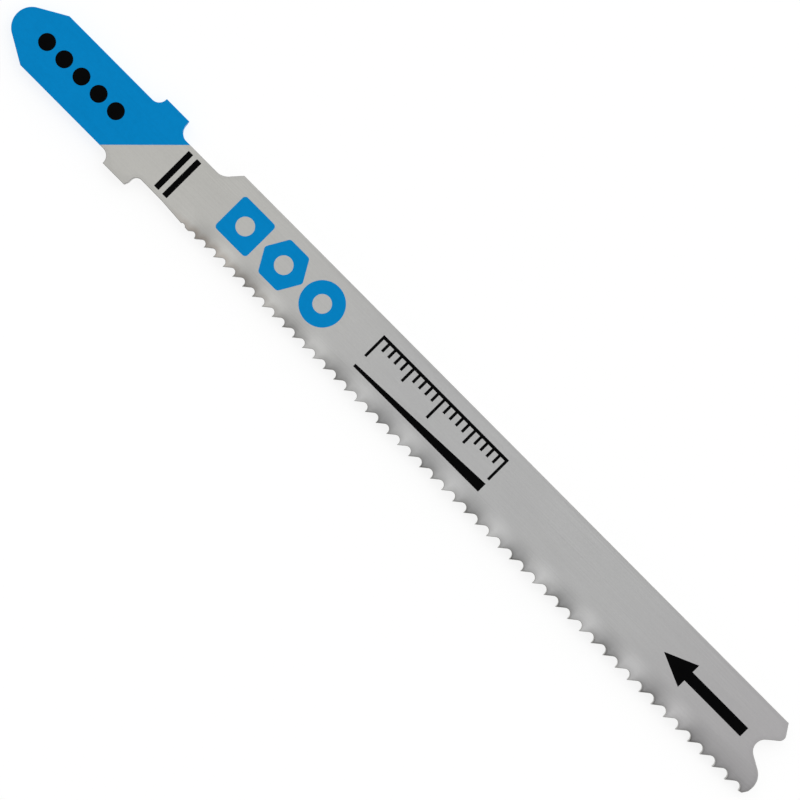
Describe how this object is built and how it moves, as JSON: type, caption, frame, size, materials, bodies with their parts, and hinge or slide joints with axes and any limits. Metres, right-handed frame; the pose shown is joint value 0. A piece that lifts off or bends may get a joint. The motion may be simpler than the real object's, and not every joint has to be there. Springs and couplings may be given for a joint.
{
  "type": "jigsaw blade",
  "caption": "Flat steel jigsaw blade with a lugged tang shank, fine wavy-set teeth that point towards the shank and a notched nose.",
  "frame": {"origin": "midway between the two lugs of the shank, on the lower flat face of the strip", "axes": "+X along the blade from the shank to the nose, +Y across it towards the straight back edge (the teeth are on the -Y side), +Z out of the upper flat face"},
  "size_m": [0.092, 0.0079, 0.0014],
  "materials": {
    "blade": "satin ground steel, with blue paint on the shank and plain printed marks on the upper face"
  },
  "bodies": {
    "root": {"blade": "blade"}
  },
  "joints": []
}
